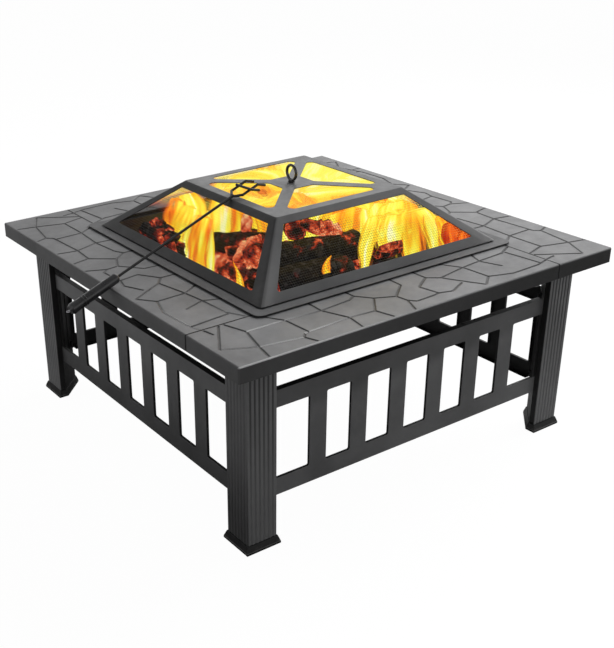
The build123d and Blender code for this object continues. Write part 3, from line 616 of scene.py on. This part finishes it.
def add_floor():
    """A pale floor that is white to the camera and keeps a soft shadow."""
    mesh = bpy.data.meshes.new("floor")
    shape = bmesh.new()
    bmesh.ops.create_circle(shape, cap_ends=True, segments=64, radius=FLOOR_RADIUS)
    shape.to_mesh(mesh)
    shape.free()
    floor = bpy.data.objects.new("floor", mesh)
    floor.location.z = -FLOOR_DROP
    bpy.context.scene.collection.objects.link(floor)
    look = Look("floor", grey(FLOOR_COLOUR), 0.9, specular=0.1)
    path = look.add("ShaderNodeLightPath")
    white = look.add("ShaderNodeEmission")
    white.inputs["Strength"].default_value = FLOOR_GLOW
    blend = look.add("ShaderNodeMixShader")
    look.feed(blend.inputs["Fac"], look.product(path.outputs["Is Camera Ray"], FLOOR_WHITE))
    look.feed(blend.inputs[1], look.shader.outputs["BSDF"])
    look.feed(blend.inputs[2], white.outputs["Emission"])
    look.feed(look.tree.nodes["Material Output"].inputs["Surface"], blend.outputs["Shader"])
    mesh.materials.append(look.material)


def add_object(name, mesh, body):
    """A new piece that rides on a CAD body."""
    piece = bpy.data.objects.new(name, mesh)
    bpy.context.scene.collection.objects.link(piece)
    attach(piece, body)
    return piece


class Shape:
    """Points, faces and values per point of a mesh under construction."""

    def __init__(self, *names):
        self.points = []
        self.faces = []
        self.values = {name: [] for name in names}

    def rows(self, rows, closed=False, **values):
        """A skin over rows of points, closed round or open."""
        start, width = len(self.points), len(rows[0])
        for row in rows:
            self.points.extend(row)
        for name, table in values.items():
            for row in table:
                self.values[name].extend(row)
        for row in range(len(rows) - 1):
            for column in range(width if closed else width - 1):
                near, far = start + row * width, start + (row + 1) * width
                beside = (column + 1) % width
                self.faces.append((near + column, near + beside, far + beside, far + column))

    def charcoal(self, rows, closed=False):
        """A skin over rows of points that each come with their glow share and ash."""
        points, glow_share, ash = ([[entry[part] for entry in row] for row in rows] for part in range(3))
        self.rows(points, closed, hotness=glow_share, ash=ash)

    def mesh(self, name, material):
        """The finished mesh, smooth, with its values as point attributes."""
        mesh = bpy.data.meshes.new(name)
        mesh.from_pydata(self.points, [], self.faces)
        mesh.polygons.foreach_set("use_smooth", [True] * len(mesh.polygons))
        for key, values in self.values.items():
            mesh.attributes.new(key, "FLOAT", "POINT").data.foreach_set("value", values)
        mesh.materials.append(material)
        return mesh


def place(x, y, z):
    """A point from millimetres about the table's middle."""
    return Vector((CENTRE.x + x / 1000, CENTRE.y + y / 1000, z / 1000))


def limit(value):
    """A value kept from 0 to 1."""
    return max(0.0, min(1.0, value))


def sheet_plane(node):
    """The middle plane of a flat CAD sheet: its middle, across, along, normal and four-cornered outline."""
    faces = {}
    for face in node.data.polygons:
        key = tuple(round(part, 2) for part in face.normal)
        total, normal = faces.get(key, (0.0, face.normal))
        faces[key] = (total + face.area, normal)
    normal = node.matrix_world.to_3x3() @ max(faces.values(), key=lambda group: group[0])[1]
    across = Vector((1, 0, 0)) if abs(normal.z) > 0.99 else Vector((0, 0, 1)).cross(normal).normalized()
    along = normal.cross(across)
    ways = (across, along, normal)
    corners = [node.matrix_world @ vertex.co for vertex in node.data.vertices]
    spans = [(min(c.dot(way) for c in corners), max(c.dot(way) for c in corners)) for way in ways]
    middle = sum((way * (low + high) / 2 for way, (low, high) in zip(ways, spans)), Vector())
    outline = []
    for level, turn in zip(spans[1], (1, -1)):
        edge = [corner.dot(across) for corner in corners if abs(corner.dot(along) - level) < 0.001]
        for end in (min(edge), max(edge))[::turn]:
            outline.append((end - middle.dot(across), level - middle.dot(along)))
    return middle, across, along, normal, outline


def cut_line(outline, at, way):
    """Where a line at a value of one coordinate enters and leaves an outline."""
    crossings = []
    for first, second in zip(outline, outline[1:] + outline[:1]):
        if (first[way] - at) * (second[way] - at) < 0:
            share = (at - first[way]) / (second[way] - first[way])
            crossings.append(first[1 - way] + share * (second[1 - way] - first[1 - way]))
    return min(crossings), max(crossings)


def wire_runs(start, stop, at, hole):
    """The stretches of a wire that passes the middle of a sheet at a distance and stops at a round hole."""
    if abs(at) >= hole:
        return [(start, stop)]
    gap = math.sqrt(hole ** 2 - at ** 2)
    return [(start, -gap), (gap, stop)]


def painted_wire_light(point, fire):
    """How much painted flame light a wire shows at a point, from the distance and the kind of the nearest
    flame.
    """
    tree, flame_light_shares = fire
    _, nearest, apart = tree.find(point)
    return limit((FLAME_LIGHT_FAR - apart) / (FLAME_LIGHT_FAR - FLAME_LIGHT_NEAR)) * flame_light_shares[nearest]


def weave(shape, node, fire, hole=0.0):
    """Crimped wires both ways over a flat CAD sheet, from edge to edge round a hole, with painted flame light
    near the fire.
    """
    middle, across, along, normal, outline = sheet_plane(node)
    for way, (side, ahead) in enumerate(((across, along), (along, across))):
        low = min(point[way] for point in outline)
        high = max(point[way] for point in outline)
        for number in range(math.floor(low / MESH_PITCH) + 1, math.ceil(high / MESH_PITCH)):
            at = number * MESH_PITCH
            for begin, end in wire_runs(*cut_line(outline, at, way), at, hole):
                stations = [(begin, 0)]
                for step in range(math.floor(begin / MESH_PITCH) + 1, math.ceil(end / MESH_PITCH)):
                    stations.append((step * MESH_PITCH, 1 if (step + number + way) % 2 else -1))
                stations.append((end, 0))
                # Painted flame light: each point of a wire gets a share from the nearest flame.
                rings, glow_share = [], []
                for distance, lift in stations:
                    core = middle + side * at + ahead * distance + normal * (lift * WIRE_RADIUS)
                    rings.append([core + reach * WIRE_RADIUS for reach in (side, normal, -side, -normal)])
                    glow_share.append([painted_wire_light(core, fire)] * len(rings[-1]))
                shape.rows(rings, closed=True, hotness=glow_share)


def add_mesh_panels(fire):
    """Woven wire in place of the plain sheets behind the lid's windows, with painted flame light on it next
    to the flames.
    """
    look = Look("mesh_wire", grey(0.07), 0.45)
    soot = look.noise(60, 4, 0.6)
    look.set("Base Color", look.ramp(soot, (0.3, (0.035, 0.034, 0.033)), (0.7, grey(0.10))))
    look.set("Roughness", look.fit(soot, 0.3, 0.7, 0.4, 0.6))
    # Painted flame light: the wires glow from dark red to yellow next to the flames.
    look.glow(look.ramp(
        look.reading("hotness"), (0.0, grey(0)), (0.4, (0.45, 0.05, 0.006)), (0.75, (0.95, 0.42, 0.03)),
        (1.0, (1.0, 0.80, 0.09))), 1.0)
    for side in ("a", "b", "c", "d", "top"):
        shape = Shape("hotness")
        weave(shape, nodes[f"lid_mesh_{side}"], fire, MESH_HOLE if side == "top" else 0.0)
        panel = add_object(f"woven_mesh_{side}", shape.mesh(f"woven_mesh_{side}", look.material), "lid")
        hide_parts(f"lid_mesh_{side}")


def charcoal(name):
    """Charcoal: black cracked faces, grey ash, and a glow from dull red to yellow."""
    look = Look(name, (0.012, 0.011, 0.011), 0.75, specular=0.3)
    grain = look.noise(160, 5, 0.65)
    speck = look.noise(420, 3, 0.7)
    dusty = look.fit(look.math("ADD", look.reading("ash"), look.product(grain, 0.35)), 0.3, 0.62)
    coal = look.ramp(grain, (0.3, grey(0.004)), (0.7, (0.025, 0.022, 0.021)))
    look.set("Base Color", look.cover(coal, (0.12, 0.115, 0.115), dusty, 0.75))
    glow_share = look.product(look.reading("hotness"), look.fit(grain, 0.25, 0.7, 0.45, 1.25))
    look.glow(look.ramp(
        glow_share, (0.12, grey(0)), (0.25, (0.08, 0.005, 0.003)), (0.38, (0.42, 0.03, 0.010)),
        (0.52, (0.78, 0.12, 0.035)), (0.70, (0.93, 0.32, 0.15)), (0.95, (1.0, 0.70, 0.26))), 1.0)
    look.bump((grain, 0.0012), (speck, 0.0004))
    return look.material


def cracks(point):
    """How deep a charcoal crack is at a point, from 0 on a cell's face to 1 in the gap."""
    distances, _ = noise.voronoi(point / CRACK_CELL)
    return max(0.0, 1 - (distances[1] - distances[0]) / 0.22)


def embers(point, seed, bias):
    """How hot charcoal is at a point, from patches of glow."""
    patch = noise.noise((point + Vector((seed, 0, 0))) * 26) * 0.9 + noise.noise(point * 64) * 0.5
    return limit(bias + patch)


def add_log(shape, start, end, radius, seed, bias, bare):
    """A charred log with a cracked face, from one end to the other."""
    axis = end - start
    ahead = axis.normalized()
    side = ahead.cross(Vector((0, 0, 1))).normalized()
    up = side.cross(ahead)
    count = max(8, round(axis.length / LOG_STEP))
    cap = []
    for step in range(CAP_RINGS):
        share = step / CAP_RINGS
        cap.append((0.0012 * (step % 2) - 0.003 * (1 - share), share))
    stations = [(-inset, share) for inset, share in cap]
    stations += [(axis.length * step / count, 1.0) for step in range(count + 1)]
    stations += [(axis.length + inset, share) for inset, share in reversed(cap)]
    rows = []
    for distance, share in stations:
        rows.append([])
        for number in range(LOG_SIDES):
            angle = math.tau * number / LOG_SIDES
            spoke = side * math.cos(angle) + up * math.sin(angle)
            skin = start + ahead * distance + spoke * radius * share
            lump = 1 + 0.22 * noise.noise(skin * 17 + Vector((seed, 0, 0)))
            ridge = 0.05 * noise.noise(Vector((angle * 5, distance * 9, seed)))
            crack = cracks(skin + Vector((seed, seed, 0)))
            reach = radius * share * (lump + ridge) - CRACK_DEPTH * crack * share
            point = start + ahead * distance + spoke * reach
            glow = embers(point, seed, bias)
            if share < 1:
                glow = max(glow, 0.62 * share if share * CAP_RINGS % 2 < 1 else 0.2)
                crack = max(crack, share)
            ash = max(0.0, noise.noise(point * 80 + Vector((0, seed, 0))) + 0.2 * spoke.z) * (1 - crack)
            rows[-1].append((point, glow * (bare + (1 - bare) * crack), ash))
    shape.charcoal(rows, closed=True)


def add_coal(shape, middle, radius, turn, seed, bias, bare=0.45):
    """A broken lump of charcoal."""
    turned = turn.to_matrix()
    rows = []
    for row in range(COAL_ROWS + 1):
        polar = math.pi * row / COAL_ROWS
        rows.append([])
        for number in range(COAL_SIDES):
            angle = math.tau * number / COAL_SIDES
            around = math.sin(polar)
            spoke = Vector((around * math.cos(angle), around * math.sin(angle), math.cos(polar)))
            block = max(abs(spoke.x), abs(spoke.y), abs(spoke.z))
            lump = 1 + 0.3 * noise.noise(spoke * 1.8 + Vector((seed, 0, 0)))
            reach = radius * (0.45 + 0.55 / block) * lump
            point = middle + turned @ Vector((spoke.x * 1.3, spoke.y, spoke.z * 0.75)) * reach
            crack = cracks(point + Vector((0, seed, seed)))
            glow_share = embers(point, seed, bias) * (bare + (1 - bare) * crack)
            rows[-1].append((point, glow_share, max(0.0, noise.noise(point * 50) + 0.2 * spoke.z) * (1 - crack)))
    shape.charcoal(rows, closed=True)


def add_bed(shape, half, low, high):
    """A lumpy bed of embers over a rounded square, its edge down on the bars."""
    rows = []
    for row in range(BED_CELLS + 1):
        rows.append([])
        for column in range(BED_CELLS + 1):
            x = half * (2 * column / BED_CELLS - 1)
            y = half * (2 * row / BED_CELLS - 1)
            point = place(x, y, 0)
            rim = (abs(x / half) ** 4 + abs(y / half) ** 4) ** 0.25
            crack = cracks(point * 0.7)
            lump = 0.5 + 0.5 * noise.noise(point * 25)
            rise = max(0.0, 1 - rim ** 6) * (0.25 + 0.55 * lump + 0.2 * (1 - crack))
            point.z = (low + (high - low) * rise) / 1000
            glow_share = embers(point, 5, 0.5) * (0.4 + 0.6 * crack)
            rows[-1].append((point, glow_share, max(0.0, noise.noise(point * 40)) * (1 - crack)))
    shape.charcoal(rows)


def any_turn(chance):
    """A turn drawn by chance."""
    return Euler([chance.uniform(0, math.tau) for _ in range(3)])


def lay_logs(shape):
    """Logs crossed on the grate, each from one end to another, with its radius and how far it glows."""
    piles = (
        ((-130, -112, 319), (34, -122, 320), 31, -0.05),
        ((-104, -60, 350), (84, -86, 346), 30, 0.0),
        ((-24, -44, 386), (70, 100, 356), 21, 0.05),
        ((102, -124, 342), (148, -132, 348), 19, 0.25),
        ((-124, 96, 344), (-62, -34, 366), 21, 0.1),
        ((-124, 62, 313), (-116, -96, 315), 27, 0.6),
        ((-122, 84, 318), (-30, 122, 320), 26, 0.45),
        ((44, 62, 318), (118, -30, 320), 27, 0.3),
        ((-16, 118, 318), (118, 98, 322), 27, 0.3),
    )
    for number, (start, end, radius, bias) in enumerate(piles):
        bare = 0.7 if bias > 0.5 else 0.35
        add_log(shape, place(*start), place(*end), radius / 1000, 3.7 * number, bias, bare)


def strew_lumps(shape, chance):
    """Lumps of charcoal by chance between the logs, and hot ones that show in the lid's windows."""
    for number in range(LUMP_COUNT):
        x, y = chance.uniform(-132, 132), chance.uniform(-132, 132)
        z = 303 + 26 * max(0.0, 1 - math.hypot(x, y) / 150) + chance.uniform(0, 8)
        turn = any_turn(chance)
        radius = chance.uniform(0.008, 0.017)
        add_coal(shape, place(x, y, z), radius, turn, 1.3 * number, chance.uniform(0.1, 0.6))
    hot_lumps = (
        (-116, -44, 354, 19), (-114, -10, 350, 17), (-118, 22, 343, 15), (-104, -30, 371, 14),
        (-136, 96, 312, 14), (-80, 32, 388, 13), (-2, -58, 394, 14), (14, -62, 388, 13),
        (30, -66, 383, 12), (46, -78, 376, 12), (116, -134, 352, 14),
    )
    for number, (x, y, z, radius) in enumerate(hot_lumps):
        add_coal(shape, place(x, y, z), radius / 1000, any_turn(chance), 7 + 2.9 * number, 0.6, 0.7)


def heap_coals(shape, chance):
    """Coals that fell beside the grate and lie heaped in one corner of the bowl."""
    for number in range(HEAP_COUNT):
        rise = (number / (HEAP_COUNT - 1)) ** 0.6
        wall = 192 + 17 * rise
        spot = place(-chance.uniform(174, wall), chance.uniform(104, wall), 257 + 108 * rise)
        turn = any_turn(chance)
        radius = chance.uniform(0.010, 0.014)
        add_coal(shape, spot, radius, turn, 4 + 1.7 * number, chance.uniform(0.1, 0.4), 0.5)


def add_fuel():
    """Logs, lumps of charcoal and embers on the grate, and coals beside it."""
    look = charcoal("charcoal")
    chance = random.Random(4)
    logs, lumps, heap, bed = (Shape("hotness", "ash") for _ in range(4))
    lay_logs(logs)
    strew_lumps(lumps, chance)
    heap_coals(heap, chance)
    add_bed(bed, 148, 288, 312)
    add_object("charred_logs", logs.mesh("charred_logs", look), "grate")
    add_object("charcoal_lumps", lumps.mesh("charcoal_lumps", look), "grate")
    add_object("fallen_coals", heap.mesh("fallen_coals", look), "bowl")
    add_object("ember_bed", bed.mesh("ember_bed", look), "grate")


def flame_look(name, warmth):
    """Flame: folds of pale yellow to red, see-through at its ragged edges and tip."""
    look = Look(name, (0, 0, 0), 1.0, specular=0.0)
    across, along, seed = (look.reading(part) for part in ("across", "along", "seed"))
    own = look.add("ShaderNodeCombineXYZ")
    for socket, part in zip(own.inputs, (look.product(across, 1.5), look.product(along, 0.4), seed)):
        look.feed(socket, part)
    folds = look.noise(3.2, 3, 0.5, own.outputs["Vector"], 0.8)
    wisps = look.noise(9.0, 3, 0.55, own.outputs["Vector"], 0.6)
    inner = look.rest(look.math("ABSOLUTE", look.product(across, 2.0)))
    swell = look.product(look.math("SUBTRACT", folds, 0.5), 2.4)
    curl = look.product(look.math("SUBTRACT", wisps, 0.5), 0.9)
    stir = look.math("ADD", swell, curl)
    body = look.math("SUBTRACT", look.math("ADD", inner, stir), look.product(along, 0.3))
    warm = look.math("ADD", look.product(body, 0.5), warmth)
    look.glow(look.ramp(
        warm, (0.02, (0.45, 0.02, 0.003)), (0.18, (0.80, 0.10, 0.008)), (0.34, (0.95, 0.27, 0.012)),
        (0.50, (0.99, 0.55, 0.018)), (0.66, (1.0, 0.80, 0.05)), (0.84, (1.0, 0.95, 0.14)),
        (1.0, (1.0, 0.98, 0.5))), 1.15)
    look.set("Alpha", look.fit(look.math("ADD", inner, look.product(stir, 0.7)), 0.06, 0.42))
    return look.material


def lid_room(point):
    """How high a flame may stand at a point: just under the lid's slopes, its top mesh and its nut."""
    aside = max(abs(point.x - CENTRE.x), abs(point.y - CENTRE.y))
    around = math.hypot(point.x - CENTRE.x, point.y - CENTRE.y)
    slope = mesh_low.z + (CENTRE.y - mesh_low.y - aside) * MESH_RISE
    return min(slope, NUT_UNDER if around < NUT_ROOM else MESH_UNDER) - FLAME_GAP


def bowl_room(height):
    """How far aside from the bowl's middle a flame may stand at a height: just inside the slanting walls."""
    drop = (bowl_high.z - height) / (bowl_high.z - bowl_low.z)
    return MOUTH_HALF - BOWL_TAPER * max(0.0, drop) - FLAME_WALL


def along_curve(points, share):
    """A point on the smooth curve that the control points pull."""
    while len(points) > 1:
        points = [near.lerp(far, share) for near, far in zip(points, points[1:])]
    return points[0]


def add_flame(shape, path, foot, head, facing, seed, blunt):
    """A tongue of flame: a cupped leaf along a curve, from a foot's width to a head's, with a point."""
    reach_up = (path[-1] - path[0]).length
    side = Vector((math.cos(facing), math.sin(facing), 0))
    outward = side.cross(Vector((0, 0, 1)))
    rows, across, along, seeds = [], [], [], []
    for row in range(FLAME_ROWS + 1):
        share = row / FLAME_ROWS
        sway = noise.noise(Vector((seed, share * 2.1, 0))) * 0.10 * reach_up * share
        spine = along_curve(path, share) + side * sway
        leaf = (foot + (head - foot) * share) * (1 - share ** blunt) ** 0.8
        leaf *= 1 + 0.25 * noise.noise(Vector((seed, share * 4, 3)))
        rows.append([])
        across.append([])
        along.append([share] * (FLAME_COLUMNS + 1))
        seeds.append([seed] * (FLAME_COLUMNS + 1))
        for column in range(FLAME_COLUMNS + 1):
            reach = 2 * column / FLAME_COLUMNS - 1
            cup = outward * (0.12 * leaf * (reach * reach - 0.4))
            point = spine + side * (reach * leaf / 2) + cup
            room = bowl_room(point.z)
            point.x = max(CENTRE.x - room, min(point.x, CENTRE.x + room))
            point.y = max(CENTRE.y - room, min(point.y, CENTRE.y + room))
            point.z = min(point.z, lid_room(point) - FLAME_LAYER * seed)
            rows[-1].append(point)
            across[-1].append(reach / 2)
    shape.rows(rows, across=across, along=along, seed=seeds)


def rolling_flames(shapes):
    """Flames that rise through the wood and roll out under the lid all round."""
    for number in range(ROLL_COUNT):
        way = math.tau * (number * 0.382 + 0.02)
        ahead = Vector((math.cos(way), math.sin(way), 0))
        inner = 16 + 26 * (number % 3)
        outer = 150 if ahead.x < 0 < ahead.y else 190
        bends = ((inner, 279), (inner, 400), (inner + 6, 476), (0.7 * outer, 462), (outer, 440))
        path = []
        for distance, height in bends:
            spot = ROLL_MIDDLE + ahead * distance
            path.append(place(spot.x, spot.y, height))
        kind = "gold" if number % 5 == 2 else "white" if ahead.x > 0.4 else "pale"
        add_flame(shapes[kind], path, 0.05, 0.17, way + math.pi / 2, number * 2.3, 6)


def curtain_flames(shapes, chance):
    """Upright flames in a row behind the wood."""
    for number in range(CURTAIN_COUNT):
        spot = CURTAIN_MIDDLE + CURTAIN_WAY * (number - CURTAIN_COUNT // 2) * CURTAIN_STEP
        path = [place(spot.x, spot.y, height) for height in (279, 380, 470)]
        facing = math.atan2(CURTAIN_WAY.y, CURTAIN_WAY.x) + chance.uniform(-0.3, 0.3)
        kind = "gold" if number % 2 else "pale"
        add_flame(shapes[kind], path, 0.07, 0.11, facing, 90 + number * 3.1, 6)


def window_flames(shapes, chance):
    """Flames that lick up behind the lid's four slopes.

    Each has its side, its start and end along that side, its distance from the middle, its lowest and
    highest point, the widths of its foot and head, and its kind.
    """
    tongues = (
        ("d", -160, -112, 166, 300, 450, 90, 130, "gold"),
        ("d", -112, -60, 168, 300, 450, 90, 130, "pale"),
        ("d", -62, -10, 172, 300, 450, 80, 110, "gold"),
        ("d", -85, -70, 62, 279, 446, 100, 130, "gold"),
        ("d", -117, -120, 160, 306, 430, 30, 60, "pale"),
        ("d", -37, -46, 160, 306, 430, 26, 60, "pale"),
        ("d", 64, 40, 160, 308, 356, 34, 22, "gold"),
        ("a", 38, 60, 166, 318, 450, 14, 100, "pale"),
        ("a", 96, 108, 172, 372, 450, 90, 120, "pale"),
        ("a", 208, 130, 172, 318, 450, 34, 100, "pale"),
        ("a", 240, 190, 190, 316, 420, 100, 110, "gold"),
        ("a", 218, 196, 206, 318, 410, 80, 90, "red"),
        ("a", 224, 218, 226, 318, 390, 60, 70, "red"),
        ("a", -44, -34, 160, 342, 374, 24, 16, "gold"),
        ("b", -150, -120, 172, 304, 445, 80, 120, "gold"),
        ("b", -60, -40, 172, 304, 445, 80, 120, "pale"),
        ("b", 60, 80, 172, 304, 445, 80, 120, "gold"),
        ("b", 150, 170, 180, 304, 430, 80, 110, "gold"),
        ("c", -140, -110, 172, 304, 445, 80, 120, "pale"),
        ("c", -20, 10, 172, 304, 445, 80, 120, "gold"),
        ("c", 100, 130, 172, 304, 445, 80, 120, "pale"),
        ("a", 110, 118, 150, 372, 460, 90, 110, "pale"),
    )
    for number, (side, start, end, depth, low, high, foot, head, kind) in enumerate(tongues):
        facing = math.pi / 2 * "abcd".index(side)
        turn = Matrix.Rotation(facing, 3, "Z")
        bow = chance.uniform(-14, 4)
        bends = ((start, -depth, low), (start, -depth - bow, (low + high) / 2), (end, -depth, high))
        path = [place(*(turn @ Vector(bend))) for bend in bends]
        add_flame(shapes[kind], path, foot / 1000, head / 1000, facing, 40 + number * 1.9, 3.5)


def crown_flames(shapes):
    """Flames flat under the lid's top mesh, each from one point to another, with its width and kind."""
    crown = (
        (46, 16, 150, 110, 110, "white"),
        (-4, -50, 130, -92, 84, "pale"),
        (-46, 46, -80, -30, 60, "gold"),
        (-54, 24, -74, -18, 24, "red"),
        (-22, -30, -44, -88, 38, "gold"),
        (20, 126, 50, 168, 18, "gold"),
        (38, 108, 78, 174, 18, "gold"),
    )
    for number, (start_x, start_y, end_x, end_y, width, kind) in enumerate(crown):
        path = [place(start_x, start_y, CROWN_HEIGHT), place(end_x, end_y, CROWN_HEIGHT)]
        facing = math.atan2(end_y - start_y, end_x - start_x) + math.pi / 2
        add_flame(shapes[kind], path, width / 1000, width / 1000, facing, -3 - 3 * number, 6)


def add_flames():
    """Flames of all kinds, and for the mesh a tree of their points with how much painted flame light each
    gives the wires.
    """
    chance = random.Random(11)
    shapes = {kind: Shape("across", "along", "seed") for kind in FLAME_KINDS}
    rolling_flames(shapes)
    curtain_flames(shapes, chance)
    window_flames(shapes, chance)
    crown_flames(shapes)
    points, flame_light_shares = [], []
    for kind, (warmth, glow) in FLAME_KINDS.items():
        look = flame_look(f"flame_{kind}", warmth)
        flames = add_object(f"flames_{kind}", shapes[kind].mesh(f"flames_{kind}", look), "grate")
        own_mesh(flames)
        flames.visible_diffuse = False
        points.extend(shapes[kind].points)
        flame_light_shares.extend([glow] * len(shapes[kind].points))
    tree = kdtree.KDTree(len(points))
    for number, point in enumerate(points):
        tree.insert(point, number)
    tree.balance()
    return tree, flame_light_shares


paint_nodes()
add_fuel()
add_mesh_panels(add_flames())
add_camera()
add_world()
add_floor()
add_lamp("key", (2.2, 0.15, 2.05), (CENTRE.x, 0, 0.35), size=1.8, power=150, mirrored=False)
add_lamp("sheen", (1.75, 1.55, 2.0), (CENTRE.x, 0, 0.35), size=2.0, power=13.5, mirrored=True)
add_lamp("fill", (-1.4, 0.8, 0.75), (CENTRE.x - 0.4, 0.1, 0.25), size=1.0, power=2.6, mirrored=False)
bpy.context.scene.view_settings.view_transform = "Standard"
